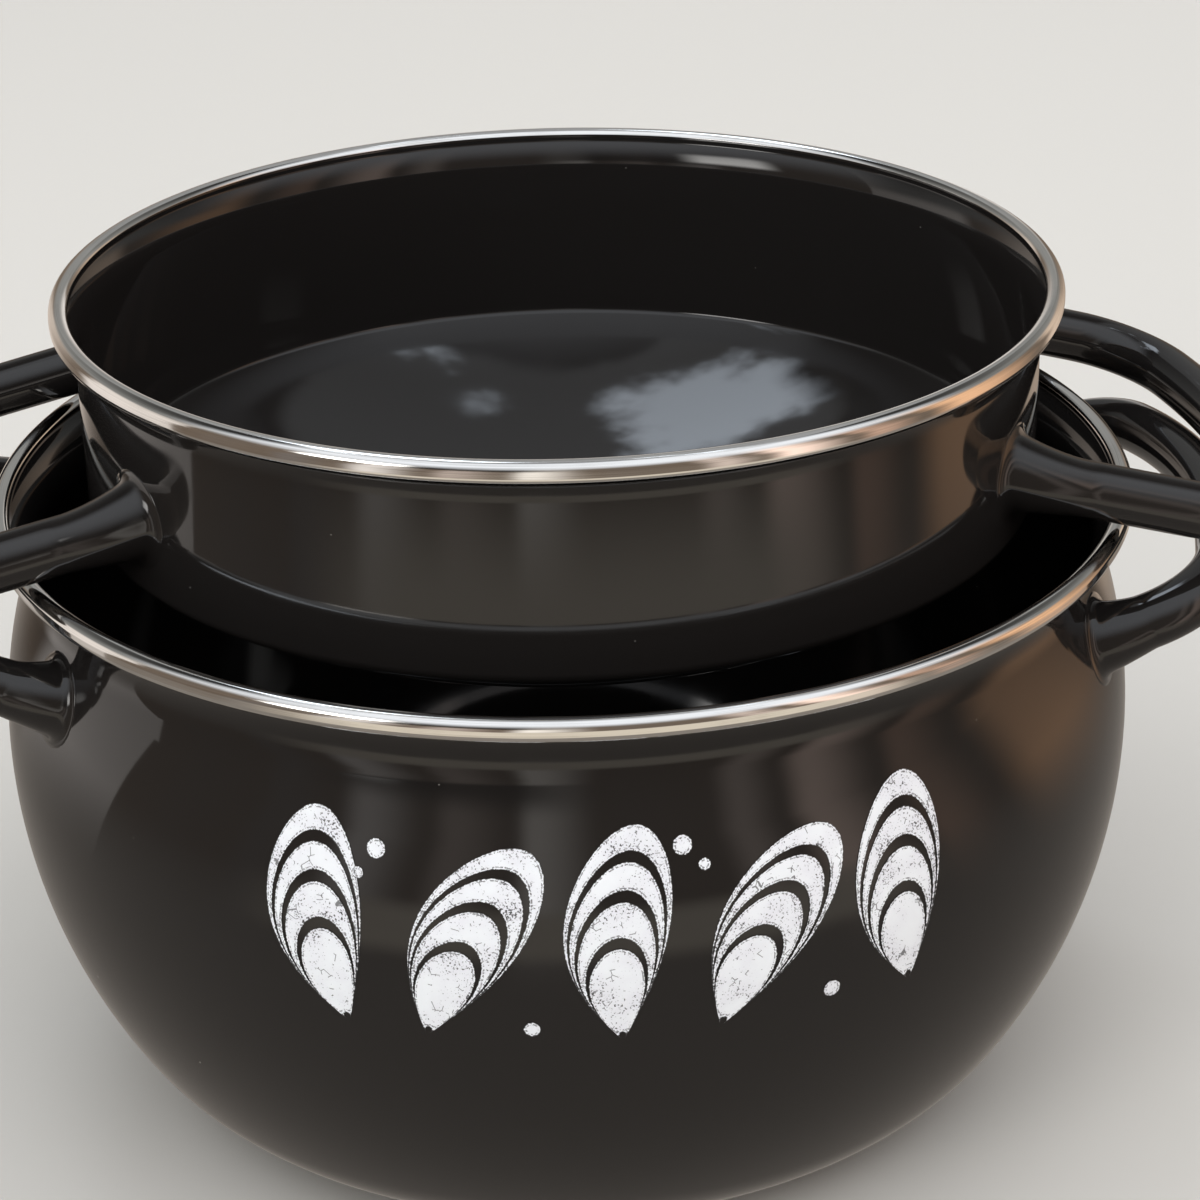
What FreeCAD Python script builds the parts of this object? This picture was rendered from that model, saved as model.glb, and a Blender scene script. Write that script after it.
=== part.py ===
# A mussel pot of black enamelled steel with bright rims. Its deep lid is turned over and stands in
# the pot's mouth as a bowl for the empty shells, carried by its handles on the pot's handles.
# Millimetres, +Z up. The origin is the middle of the foot, the handles lie along X and the printed
# front faces -Y.
import FreeCAD, Part
import math
import os
import Sketcher

Vector = FreeCAD.Vector
Rotation = FreeCAD.Rotation
Placement = FreeCAD.Placement

doc = FreeCAD.newDocument("mussel_pot")

# Driving sizes: name, value, what it is
driving = [
    ("sheetThickness", 1.2, "steel sheet with its enamel, pot and lid"),
    ("lipRadius", 1.45, "rolled lip at the edge of the sheet, pot and lid"),
    ("trimGap", 0.25, "clearance between a rolled lip and the trim crimped over it"),
    ("trimThickness", 0.35, "bright steel strip of the trim"),
    ("trimInsideAngle", 155, "where the trim ends inside, degrees round the lip from the outside"),
    ("trimOutsideAngle", 75, "where the trim ends below the outside, degrees under the level"),
    ("rimRadius", 118, "axis to the middle of the pot's lip"),
    ("rimHeight", 133, "foot to the middle of the pot's lip"),
    ("bellySwell", 3, "how far the belly stands out past the middle of the lip"),
    ("bellyDrop", 51, "how far the widest place lies below the middle of the lip"),
    ("shoulderRadius", 105, "radius of the upright curve from belly to neck"),
    ("neckCurve", 11.7, "radius of the hollow curve under the pot's lip"),
    ("footInset", 53, "how far the flat foot lies inside the widest radius"),
    ("cornerRadius", 42, "radius of the curve from the foot to the belly"),
    ("footRingWidth", 7, "width of the flat ring that the pot stands on"),
    ("footRecess", 1.2, "how far the bottom is pressed up inside that ring"),
    ("lidInset", 16, "how far the lid's lip lies inside the pot's lip"),
    ("lidFlare", 2.5, "how far the lid's lip stands out past its wall"),
    ("lidDepth", 46, "lid's lip to the outside of its flat top"),
    ("lidCornerRadius", 8, "radius of the lid's bottom corner"),
    ("lidNeckCurve", 10, "radius of the hollow curve under the lid's lip"),
    ("lidRingWidth", 6, "width of the flat ring round the lid's pressed panel"),
    ("lidRecess", 0.8, "how far the lid's panel is pressed in"),
    ("gripRadius", 5.75, "radius of the round handles"),
    ("handleSpan", 100, "distance between the legs of a handle"),
    ("handleCorner", 21, "radius of a handle's corners along its middle line"),
    ("handleBow", 120, "radius of a handle's long outer side"),
    ("rootRadius", 9.2, "radius of the flared root of a leg at the wall"),
    ("potRootLength", 11, "length over which a pot handle's root narrows to the grip"),
    ("lidRootLength", 17, "length over which a lid handle's root narrows to the grip"),
    ("waistRadius", 6.8, "radius of a root part of the way to the grip"),
    ("waistShare", 0.35, "where along the root that is"),
    ("rootTuck", 0.2, "how far the thin end of a flare lies inside the grip"),
    ("rootDepth", 5, "how far a leg is drawn into the wall before it is trimmed"),
    ("seatGap", 0.1, "seam between a handle's root and the wall"),
    ("potHandleDrop", 22, "middle of the pot's lip to the roots of its handles"),
    ("potHandleTilt", 20, "rise of the pot's handles, degrees"),
    ("potHandleOut", 18.5, "how far a pot handle's outer side lies past the widest radius"),
    ("lidHandleDrop", 28, "lid's lip to the roots of its handles"),
    ("lidHandleTilt", 14.5, "fall of the lid's handles when it is turned over, degrees"),
    ("lidHandleLap", 7, "how far a lid handle reaches past the pot handle that carries it"),
    ("restGap", 0.3, "clearance where a lid handle rests on a pot handle"),
]

# Sizes that follow: name, formula, what it is
following = [
    ("bellyRadius", "=rimRadius + bellySwell", "widest radius of the pot"),
    ("bellyHeight", "=rimHeight - bellyDrop", "height of the widest radius"),
    ("footRadius", "=bellyRadius - footInset", "radius of the flat foot"),
    ("lidRimRadius", "=rimRadius - lidInset", "axis to the middle of the lid's lip"),
    ("lidWallRadius", "=lidRimRadius - lidFlare", "outside radius of the lid's wall"),
    ("potHandleHeight", "=rimHeight - potHandleDrop", "height of the roots of the pot's handles"),
    ("potHandleReach", "=bellyRadius + potHandleOut", "axis to the outer side of a pot handle"),
    ("lidHandleReach", "=potHandleReach + lidHandleLap", "axis to the outer side of a lid handle"),
    ("potRootX", "=sqrt((bellyRadius - shoulderRadius + sqrt(shoulderRadius^2"
     " - (potHandleHeight - bellyHeight)^2))^2 - (handleSpan / 2)^2)", "pot wall at a leg, along X"),
    ("lidRootX", "=sqrt(lidWallRadius^2 - (handleSpan / 2)^2)", "lid wall at a leg, along X"),
    ("potRootAngle", "=asin(handleSpan / 2 / sqrt(potRootX^2 + (handleSpan / 2)^2)) / 1 deg",
     "direction of the pot's wall at a leg"),
    ("lidRootAngle", "=asin(handleSpan / 2 / lidWallRadius) / 1 deg",
     "direction of the lid's wall at a leg"),
    ("potGripHeight", "=potHandleHeight + (potHandleReach - potRootX) * tan(potHandleTilt)",
     "height of the outer side of a pot handle"),
    ("lidGripHeight", "=potGripHeight + sqrt((2 * gripRadius + restGap)^2"
     " - (lidHandleReach - potHandleReach)^2)", "height of the outer side of a lid handle"),
    ("lidHandleHeight", "=lidGripHeight + (lidHandleReach - lidRootX) * tan(lidHandleTilt)",
     "height of the roots of the lid's handles"),
    ("lidRimHeight", "=lidHandleHeight + lidHandleDrop", "foot to the middle of the lid's lip"),
    ("lidFloorHeight", "=lidRimHeight - lidDepth", "foot to the lid's flat top, now its bottom"),
]

sheet = doc.addObject("Spreadsheet::Sheet", "sizes")
for row, (alias, content, note) in enumerate(driving + following, start=1):
    sheet.set(f"A{row}", note)
    sheet.set(f"B{row}", str(content))
    sheet.setAlias(f"B{row}", alias)
    doc.recompute()


def size(name):
    """The number in a named cell."""
    return float(getattr(sheet, name))


def number(formula):
    """What a formula on the named cells comes to."""
    return float(sheet.evalExpression(formula))


def around(centre, radius, degrees):
    """The point of a circle at an angle."""
    turn = math.radians(degrees)
    return (centre[0] + radius * math.cos(turn), centre[1] + radius * math.sin(turn))


def bearing(centre, point):
    """The angle from one point to another, in degrees."""
    return math.degrees(math.atan2(point[1] - centre[1], point[0] - centre[0]))


def far_corner(first, first_reach, second, second_reach):
    """Where two circles cross, on the side further from the axis."""
    across, up = second[0] - first[0], second[1] - first[1]
    apart = math.hypot(across, up)
    along = (first_reach**2 - second_reach**2 + apart**2) / (2 * apart)
    aside = math.sqrt(first_reach**2 - along**2)
    across, up = across / apart, up / apart
    return (first[0] + along * across + aside * up, first[1] + along * up - aside * across)


class Outline:
    """A sketch of a body. Lines and arcs are drawn near their place and held by constraints."""

    def __init__(self, body, name, role):
        self.sketch = body.newObject("Sketcher::SketchObject", name)
        plane = next(item for item in body.Origin.OriginFeatures if item.Role == role)
        self.sketch.AttachmentSupport = [(plane, "")]
        self.sketch.MapMode = "FlatFace"

    def line(self, start, end):
        return self.sketch.addGeometry(Part.LineSegment(Vector(*start, 0), Vector(*end, 0)), False)

    def arc(self, centre, radius, first, last):
        circle = Part.Circle(Vector(*centre, 0), Vector(0, 0, 1), radius)
        bow = Part.ArcOfCircle(circle, math.radians(first), math.radians(last))
        return self.sketch.addGeometry(bow, False)

    def circle(self, centre, radius):
        ring = Part.Circle(Vector(*centre, 0), Vector(0, 0, 1), radius)
        return self.sketch.addGeometry(ring, False)

    def hold(self, kind, *places):
        self.sketch.addConstraint(Sketcher.Constraint(kind, *places))

    def measure(self, kind, places, formula):
        index = self.sketch.addConstraint(Sketcher.Constraint(kind, *places, number(formula)))
        self.sketch.setExpression(f"Constraints[{index}]", formula)

    def from_origin(self, item, point, across=None, up=None):
        """Dimensions from the sketch's origin to a point of an item, across and up."""
        if across:
            self.measure("DistanceX", (-1, 1, item, point), across)
        if up:
            self.measure("DistanceY", (-1, 1, item, point), up)


START, END, CENTRE = 1, 2, 3
ORIGIN_ACROSS, ORIGIN_UP = -1, -2


def revolve(body, outline, name):
    """Turns a closed outline of a body all round the body's Z axis."""
    turned = body.newObject("PartDesign::Revolution", name)
    turned.Profile = outline.sketch
    turned.ReferenceAxis = (outline.sketch, ["V_Axis"])
    turned.Angle = 360


def revolve_lengths(body, outline, name, lengths):
    """Turns an outline through one of a number of equal lengths and repeats it round the Z axis."""
    first = body.newObject("PartDesign::Revolution", name + "_length")
    first.Profile = outline.sketch
    first.ReferenceAxis = (outline.sketch, ["V_Axis"])
    first.Angle = 360 / lengths
    ring = body.newObject("PartDesign::PolarPattern", name)
    ring.Originals = [first]
    ring.Axis = (outline.sketch, ["V_Axis"])
    ring.Angle = 360
    ring.Occurrences = lengths
    ring.Refine = False
    body.Tip = ring


def pressed_bottom(outline, ring_radius, height, ring, recess):
    """The underside: a panel pressed up inside a flat ring. Returns the axis end and the ring's line."""
    level = number(height) if height else 0
    outer, width, rise = number(ring_radius), number(ring), number(recess)
    panel = outline.line((0, level + rise), (outer - width - rise, level + rise))
    step = outline.line((outer - width - rise, level + rise), (outer - width, level))
    flat = outline.line((outer - width, level), (outer, level))
    outline.hold("PointOnObject", panel, START, ORIGIN_UP)
    outline.hold("Horizontal", panel)
    outline.hold("Coincident", panel, END, step, START)
    outline.hold("Coincident", step, END, flat, START)
    outline.hold("Horizontal", flat)
    outline.measure("DistanceX", (panel, END, step, END), recess)
    outline.measure("DistanceY", (step, END, panel, END), recess)
    outline.measure("DistanceX", (flat, START, flat, END), ring)
    outline.from_origin(flat, END, across=ring_radius)
    if height:
        outline.from_origin(flat, START, up=height)
    else:
        outline.hold("PointOnObject", flat, START, ORIGIN_ACROSS)
    return panel, flat


def close_top(outline, curve, panel, end):
    """Level line from the lip's end to the axis and down the axis to the panel."""
    bottom = outline.sketch.Geometry[panel].StartPoint
    top = outline.line(end, (0, end[1]))
    axis = outline.line((0, end[1]), (0, bottom.y))
    outline.hold("Coincident", curve, START, top, START)
    outline.hold("Horizontal", top)
    outline.hold("Coincident", top, END, axis, START)
    outline.hold("PointOnObject", axis, START, ORIGIN_UP)
    outline.hold("Coincident", axis, END, panel, START)


def hold_lip(outline, curve, curve_radius, rim_radius, rim_height):
    """The hollow curve under a lip ends where the middle of the sheet meets the middle of the lip."""
    lip = Vector(number(rim_radius), number(rim_height), 0)
    hollow = outline.sketch.Geometry[curve].Center
    spoke = outline.sketch.addGeometry(Part.LineSegment(hollow, lip), True)
    outline.from_origin(spoke, END, across=rim_radius, up=rim_height)
    outline.hold("Coincident", spoke, START, curve, CENTRE)
    outline.hold("PointOnObject", curve, START, spoke)
    outline.measure("Radius", (curve,), curve_radius)
    outline.measure("Distance", (spoke,), f"{curve_radius} + sizes.sheetThickness / 2")


def pot_outside():
    """The pot as a solid block inside its outer surface: foot, corner, belly, shoulder and neck."""
    body = doc.addObject("PartDesign::Body", "pot_form")
    outline = Outline(body, "pot_form_outline", "XZ_Plane")
    foot, corner = size("footRadius"), size("cornerRadius")
    belly, widest = size("bellyRadius"), size("bellyHeight")
    shoulder, hollow = size("shoulderRadius"), size("neckCurve")
    lip = (size("rimRadius"), size("rimHeight"))
    reach, rise = belly - foot, widest - corner
    side = (reach**2 + rise**2 - corner**2) / (2 * (reach - corner))
    corner_centre, side_centre = (foot, corner), (belly - side, widest)
    shoulder_centre = (belly - shoulder, widest)
    hollow_centre = far_corner(shoulder_centre, shoulder + hollow, lip, hollow + size("sheetThickness") / 2)
    joint = bearing(side_centre, corner_centre)
    crease = bearing(shoulder_centre, hollow_centre)
    lip_angle = bearing(hollow_centre, lip)

    panel, flat = pressed_bottom(outline, "sizes.footRadius", None, "sizes.footRingWidth", "sizes.footRecess")
    low = outline.arc(corner_centre, corner, -90, joint)
    wall = outline.arc(side_centre, side, joint, 0)
    high = outline.arc(shoulder_centre, shoulder, 0, crease)
    neck = outline.arc(hollow_centre, hollow, lip_angle, crease + 180)
    outline.hold("Tangent", flat, END, low, START)
    outline.measure("Radius", (low,), "sizes.cornerRadius")
    outline.hold("Tangent", low, END, wall, START)
    outline.from_origin(wall, END, across="sizes.bellyRadius", up="sizes.bellyHeight")
    outline.from_origin(wall, CENTRE, up="sizes.bellyHeight")
    outline.hold("Tangent", wall, END, high, START)
    outline.measure("Radius", (high,), "sizes.shoulderRadius")
    outline.hold("Tangent", high, END, neck, END)
    hold_lip(outline, neck, "sizes.neckCurve", "sizes.rimRadius", "sizes.rimHeight")
    close_top(outline, neck, panel, around(hollow_centre, hollow, lip_angle))
    revolve(body, outline, "pot_form_turned")
    return body


def lid_outside():
    """The lid, turned over, as a solid block inside its outer surface: panel, corner, wall and neck."""
    body = doc.addObject("PartDesign::Body", "lid_form")
    outline = Outline(body, "lid_form_outline", "XZ_Plane")
    radius, corner, hollow = size("lidWallRadius"), size("lidCornerRadius"), size("lidNeckCurve")
    lip = (size("lidRimRadius"), size("lidRimHeight"))
    floor = size("lidFloorHeight")
    half = size("sheetThickness") / 2
    drop = math.sqrt((hollow + half)**2 - (radius + hollow - lip[0])**2)
    hollow_centre = (radius + hollow, lip[1] - drop)
    lip_angle = bearing(hollow_centre, lip)

    panel, flat = pressed_bottom(outline, "sizes.lidWallRadius - sizes.lidCornerRadius",
                                 "sizes.lidFloorHeight", "sizes.lidRingWidth", "sizes.lidRecess")
    low = outline.arc((radius - corner, floor + corner), corner, -90, 0)
    wall = outline.line((radius, floor + corner), (radius, hollow_centre[1]))
    neck = outline.arc(hollow_centre, hollow, lip_angle, 180)
    outline.hold("Tangent", flat, END, low, START)
    outline.hold("Tangent", low, END, wall, START)
    outline.measure("Radius", (low,), "sizes.lidCornerRadius")
    outline.hold("Vertical", wall)
    outline.hold("Tangent", wall, END, neck, END)
    hold_lip(outline, neck, "sizes.lidNeckCurve", "sizes.lidRimRadius", "sizes.lidRimHeight")
    close_top(outline, neck, panel, around(hollow_centre, hollow, lip_angle))
    revolve(body, outline, "lid_form_turned")
    return body


def pressed_sheet(name, form, rim_radius, rim_height):
    """Hollows a form out to the sheet's thickness, open at the top, and rolls a lip round its edge."""
    doc.recompute()
    faces = form.Shape.Faces
    flats = [index for index, face in enumerate(faces, start=1) if face.Surface.TypeId == "Part::GeomPlane"]
    mouth = max(flats, key=lambda index: faces[index - 1].CenterOfMass.z)
    hollow = doc.addObject("Part::Thickness", name + "_sheet")
    hollow.Faces = (form, [f"Face{mouth}"])
    hollow.Join = "Intersection"
    hollow.setExpression("Value", "-sizes.sheetThickness")
    lip = doc.addObject("Part::Torus", name + "_lip")
    lip.setExpression("Radius1", rim_radius)
    lip.setExpression("Radius2", "sizes.lipRadius")
    lip.setExpression("Placement.Base.z", rim_height)
    joined = doc.addObject("Part::Fuse", name)
    joined.Base = hollow
    joined.Tool = lip
    joined.Refine = True
    return joined


def rim_trim(name, rim_radius, rim_height):
    """Bright steel strip crimped over a rolled lip, open below where the sheet comes in."""
    body = doc.addObject("PartDesign::Body", name)
    outline = Outline(body, name + "_section", "XZ_Plane")
    centre = (number(rim_radius), number(rim_height))
    inner = size("lipRadius") + size("trimGap")
    outer = inner + size("trimThickness")
    low, high = -size("trimOutsideAngle"), size("trimInsideAngle")
    back = outline.arc(centre, inner, low, high)
    face = outline.arc(centre, outer, low, high)
    under = outline.line(around(centre, inner, low), around(centre, outer, low))
    inside = outline.line(around(centre, inner, high), around(centre, outer, high))
    outline.from_origin(back, CENTRE, across=rim_radius, up=rim_height)
    outline.hold("Coincident", back, CENTRE, face, CENTRE)
    outline.measure("Radius", (back,), "sizes.lipRadius + sizes.trimGap")
    outline.measure("Radius", (face,), "sizes.lipRadius + sizes.trimGap + sizes.trimThickness")
    for edge, end, angle in (
        (under, START, "-sizes.trimOutsideAngle * 1 deg"),
        (inside, END, "sizes.trimInsideAngle * 1 deg"),
    ):
        outline.hold("Coincident", edge, START, back, end)
        outline.hold("Coincident", edge, END, face, end)
        outline.hold("PointOnObject", back, CENTRE, edge)
        index = outline.sketch.addConstraint(
            Sketcher.Constraint("Angle", edge, math.radians(low if edge == under else high)))
        outline.sketch.setExpression(f"Constraints[{index}]", angle)
    revolve_lengths(body, outline, name + "_turned", 4)
    return body


def placed_circle(body, name, radius, along, aside, turn=None):
    """A circle square to the handle's plane, at a distance along and aside, turned in that plane."""
    outline = Outline(body, name, "YZ_Plane")
    ring = outline.circle((0, 0), number(radius))
    outline.hold("Coincident", ring, CENTRE, -1, START)
    outline.measure("Radius", (ring,), radius)
    sketch = outline.sketch
    if turn:
        sketch.AttachmentOffset = Placement(Vector(0, 0, 0), Rotation(Vector(0, 1, 0), number(turn)))
        sketch.setExpression("AttachmentOffset.Rotation.Angle", turn)
    sketch.setExpression("AttachmentOffset.Base.x", aside)
    sketch.setExpression("AttachmentOffset.Base.z", along)
    return sketch


def loop_handle(name, reach, root_x, tilt, root_angle, root_height, root_length):
    """A round bar bent to a loop, with two legs that flare towards the wall.

    It is drawn level, with its legs along X and the wall at X 0, and then tilted in place.
    """
    body = doc.addObject("PartDesign::Body", name)
    length = f"(({reach} - {root_x}) / cos({tilt} * 1 deg))"
    aside = "sizes.handleSpan / 2"
    bend, bow, half = size("handleCorner"), size("handleBow"), size("handleSpan") / 2
    far = number(length)
    bow_centre = (far - bow, 0)
    bend_centre = (bow_centre[0] + math.sqrt((bow - bend)**2 - (half - bend)**2), half - bend)
    turn = bearing(bow_centre, bend_centre)

    path = Outline(body, name + "_path", "XY_Plane")
    start = -size("rootDepth")
    left = path.line((start, half), (bend_centre[0], half))
    left_bend = path.arc(bend_centre, bend, turn, 90)
    outer = path.arc(bow_centre, bow, -turn, turn)
    right_bend = path.arc((bend_centre[0], -bend_centre[1]), bend, -90, -turn)
    right = path.line((bend_centre[0], -half), (start, -half))
    path.hold("Horizontal", left)
    path.hold("Horizontal", right)
    path.hold("Tangent", left, END, left_bend, END)
    path.hold("Tangent", left_bend, START, outer, END)
    path.hold("Tangent", outer, START, right_bend, END)
    path.hold("Tangent", right_bend, START, right, START)
    path.hold("Symmetric", left, START, right, END, ORIGIN_ACROSS)
    path.hold("Equal", left_bend, right_bend)
    path.hold("PointOnObject", outer, CENTRE, ORIGIN_ACROSS)
    path.measure("Radius", (left_bend,), "sizes.handleCorner")
    path.measure("Radius", (outer,), "sizes.handleBow")
    path.measure("DistanceX", (outer, CENTRE, -1, START), f"sizes.handleBow - {length}")
    path.measure("DistanceX", (left, START, -1, START), "sizes.rootDepth")
    path.measure("DistanceY", (-1, START, left, START), aside)

    section = placed_circle(body, name + "_section", "sizes.gripRadius", "-sizes.rootDepth", aside)
    bar = body.newObject("PartDesign::AdditivePipe", name + "_bar")
    bar.Profile = section
    bar.Spine = path.sketch
    doc.recompute()

    base = placed_circle(body, name + "_root", "sizes.rootRadius",
                         f"-sizes.rootDepth * cos({root_angle} * 1 deg)",
                         f"{aside} - sizes.rootDepth * sin({root_angle} * 1 deg)", f"{root_angle} * 1 deg")
    waist = placed_circle(body, name + "_waist", "sizes.waistRadius", f"{root_length} * sizes.waistShare",
                          aside, f"{root_angle} / 2 * 1 deg")
    leg = placed_circle(body, name + "_leg", "sizes.gripRadius - sizes.rootTuck", root_length, aside)
    root = body.newObject("PartDesign::AdditiveLoft", name + "_flare")
    root.Profile = base
    root.Sections = [waist, leg]
    doc.recompute()
    other = body.newObject("PartDesign::Mirrored", name + "_other_flare")
    other.Originals = [root]
    level = next(item for item in body.Origin.OriginFeatures if item.Role == "XZ_Plane")
    other.MirrorPlane = (level, [""])
    body.Tip = other
    body.Placement = Placement(Vector(0, 0, 0), Rotation(Vector(0, 1, 0), -number(tilt)))
    body.setExpression("Placement.Base.x", root_x)
    body.setExpression("Placement.Base.z", root_height)
    body.setExpression("Placement.Rotation.Angle", f"-{tilt} * 1 deg")
    return body


def trimmed_handle(name, body, form):
    """Cuts a handle's legs to the wall, a seam's width off it."""
    shell = doc.addObject("Part::Offset", name + "_seam")
    shell.Source = form
    shell.setExpression("Value", "sizes.seatGap")
    cut = doc.addObject("Part::Cut", name)
    cut.Base = body
    cut.Tool = shell
    return cut


def mirrored(name, source):
    """The same piece on the other side."""
    copy = doc.addObject("Part::Mirroring", name)
    copy.Source = source
    copy.Base = Vector(0, 0, 0)
    copy.Normal = Vector(1, 0, 0)
    return copy


pot_form = pot_outside()
lid_form = lid_outside()
pot_body = pressed_sheet("pot_body", pot_form, "sizes.rimRadius", "sizes.rimHeight")
lid_body = pressed_sheet("lid_body", lid_form, "sizes.lidRimRadius", "sizes.lidRimHeight")
pot_rim = rim_trim("pot_rim", "sizes.rimRadius", "sizes.rimHeight")
lid_rim = rim_trim("lid_rim", "sizes.lidRimRadius", "sizes.lidRimHeight")
pot_loop = loop_handle("pot_loop", "sizes.potHandleReach", "sizes.potRootX", "sizes.potHandleTilt",
                       "sizes.potRootAngle", "sizes.potHandleHeight", "sizes.potRootLength")
lid_loop = loop_handle("lid_loop", "sizes.lidHandleReach", "sizes.lidRootX", "(-sizes.lidHandleTilt)",
                       "sizes.lidRootAngle", "sizes.lidHandleHeight", "sizes.lidRootLength")
pot_handle_right = trimmed_handle("pot_handle_right", pot_loop, pot_form)
lid_handle_right = trimmed_handle("lid_handle_right", lid_loop, lid_form)
pieces = [
    pot_body,
    pot_rim,
    pot_handle_right,
    mirrored("pot_handle_left", pot_handle_right),
    lid_body,
    lid_rim,
    lid_handle_right,
    mirrored("lid_handle_left", lid_handle_right),
]
for piece in pieces:
    piece.Label = piece.Name

doc.recompute()
for item in doc.Objects:
    if "Invalid" in item.State or "Error" in item.State:
        raise RuntimeError(f"{item.Name} did not build: {item.State}")
for piece in pieces:
    shape = piece.Shape
    if shape.isNull() or not shape.isValid() or len(shape.Solids) != 1:
        raise RuntimeError(f"{piece.Name} is not one sound solid")

os.makedirs("parts", exist_ok=True)
for piece in pieces:
    piece.Shape.exportStep(f"parts/{piece.Name}.step")
    box = piece.Shape.BoundBox
    print(f"{piece.Name}: {piece.Shape.Volume:.0f} mm3, x {box.XMin:.2f} to {box.XMax:.2f}, "
          f"y {box.YMin:.2f} to {box.YMax:.2f}, z {box.ZMin:.2f} to {box.ZMax:.2f}")
print(f"lid's lip {size('lidRimHeight'):.2f} up, {size('lidRimHeight') - size('rimHeight'):.2f} over the pot's")
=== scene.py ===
# Mussel pot with its lid turned over in the mouth as a bowl for the shells
import bmesh
import bpy
import math
from mathutils import Matrix, Vector
from mathutils.bvhtree import BVHTree


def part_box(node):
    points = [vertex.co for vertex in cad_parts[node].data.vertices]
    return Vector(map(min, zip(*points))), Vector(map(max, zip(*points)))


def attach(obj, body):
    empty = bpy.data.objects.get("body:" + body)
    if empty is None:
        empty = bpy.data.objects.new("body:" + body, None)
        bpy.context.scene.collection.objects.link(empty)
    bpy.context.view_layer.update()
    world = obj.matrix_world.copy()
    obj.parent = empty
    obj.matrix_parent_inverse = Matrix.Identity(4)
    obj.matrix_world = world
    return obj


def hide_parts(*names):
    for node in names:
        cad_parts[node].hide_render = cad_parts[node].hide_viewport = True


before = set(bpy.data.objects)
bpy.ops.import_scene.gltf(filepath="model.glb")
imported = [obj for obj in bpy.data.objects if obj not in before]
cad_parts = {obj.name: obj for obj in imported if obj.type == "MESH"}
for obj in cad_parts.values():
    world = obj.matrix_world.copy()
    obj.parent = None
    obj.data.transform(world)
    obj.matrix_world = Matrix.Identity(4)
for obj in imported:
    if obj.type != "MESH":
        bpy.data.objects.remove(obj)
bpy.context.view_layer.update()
millimetre = 0.001


class Wire:
    # an output of a shader node, so that shader maths reads as arithmetic
    def __init__(self, graph, socket):
        self.graph = graph
        self.socket = socket

    def other(self, name):
        return Wire(self.graph, self.socket.node.outputs[name])

    def __add__(self, value):
        return self.graph.maths("ADD", self, value)

    def __radd__(self, value):
        return self.graph.maths("ADD", value, self)

    def __sub__(self, value):
        return self.graph.maths("SUBTRACT", self, value)

    def __mul__(self, value):
        return self.graph.maths("MULTIPLY", self, value)

    def __rmul__(self, value):
        return self.graph.maths("MULTIPLY", value, self)

    def __truediv__(self, value):
        return self.graph.maths("DIVIDE", self, value)

    def __gt__(self, value):
        return self.graph.maths("GREATER_THAN", self, value)

    def __lt__(self, value):
        return self.graph.maths("LESS_THAN", self, value)


class Graph:
    # the nodes of one material or of the world
    def __init__(self, owner):
        owner.use_nodes = True
        self.tree = owner.node_tree
        self.tree.nodes.clear()

    def add(self, kind, settings=None, sockets=None, out=0):
        node = self.tree.nodes.new(kind)
        for name, value in (settings or {}).items():
            if name == "stops":
                ramp = node.color_ramp
                while len(ramp.elements) < len(value):
                    ramp.elements.new(0.5)
                for element, (place, colour) in zip(ramp.elements, value):
                    element.position = place
                    element.color = (*colour, 1)
            elif name == "spread":
                node.color_ramp.interpolation = value
            else:
                setattr(node, name, value)
        for name, value in (sockets or {}).items():
            if isinstance(value, Wire):
                self.tree.links.new(value.socket, node.inputs[name])
            elif isinstance(value, tuple) and len(value) == 3 and node.inputs[name].type == "RGBA":
                node.inputs[name].default_value = (*value, 1)
            else:
                node.inputs[name].default_value = value
        return Wire(self, node.outputs[out]) if node.outputs else None

    def maths(self, operation, *values):
        return self.add("ShaderNodeMath", {"operation": operation}, dict(enumerate(values)))

    def step(self, value, low, high, first=0.0, last=1.0):
        # a smooth step from first to last
        sockets = {"Value": value, "From Min": low, "From Max": high, "To Min": first, "To Max": last}
        return self.add("ShaderNodeMapRange", {"interpolation_type": "SMOOTHSTEP"}, sockets)

    def stretch(self, value, comes, full, wanes, gone):
        # 1 over a stretch of the value, with soft ends
        return self.step(value, comes, full) * self.step(value, gone, wanes)

    def blend(self, share, first, second, mode="MIX"):
        # mixes two colours; the colour sockets of a Mix node are numbers 6 and 7, its result is number 2
        sockets = {0: share, 6: first, 7: second}
        return self.add("ShaderNodeMix", {"data_type": "RGBA", "blend_type": mode}, sockets, 2)

    def noise(self, place, scale, detail=2.0, roughness=0.5):
        sockets = {"Vector": place, "Scale": scale, "Detail": detail, "Roughness": roughness}
        return self.add("ShaderNodeTexNoise", {}, sockets)

    def place(self):
        return self.add("ShaderNodeTexCoord", {}, {}, "Object")

    def parts(self, vector):
        x = self.add("ShaderNodeSeparateXYZ", {}, {0: vector})
        return x, x.other("Y"), x.other("Z")


def newFinish(name):
    finish = bpy.data.materials.new(name)
    return finish, Graph(finish)


def closeFinish(graph, sockets):
    # the surface shader, with its plain numbers on its own sockets
    surface = graph.add("ShaderNodeBsdfPrincipled", {}, sockets)
    graph.add("ShaderNodeOutputMaterial", {}, {"Surface": surface})


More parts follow.
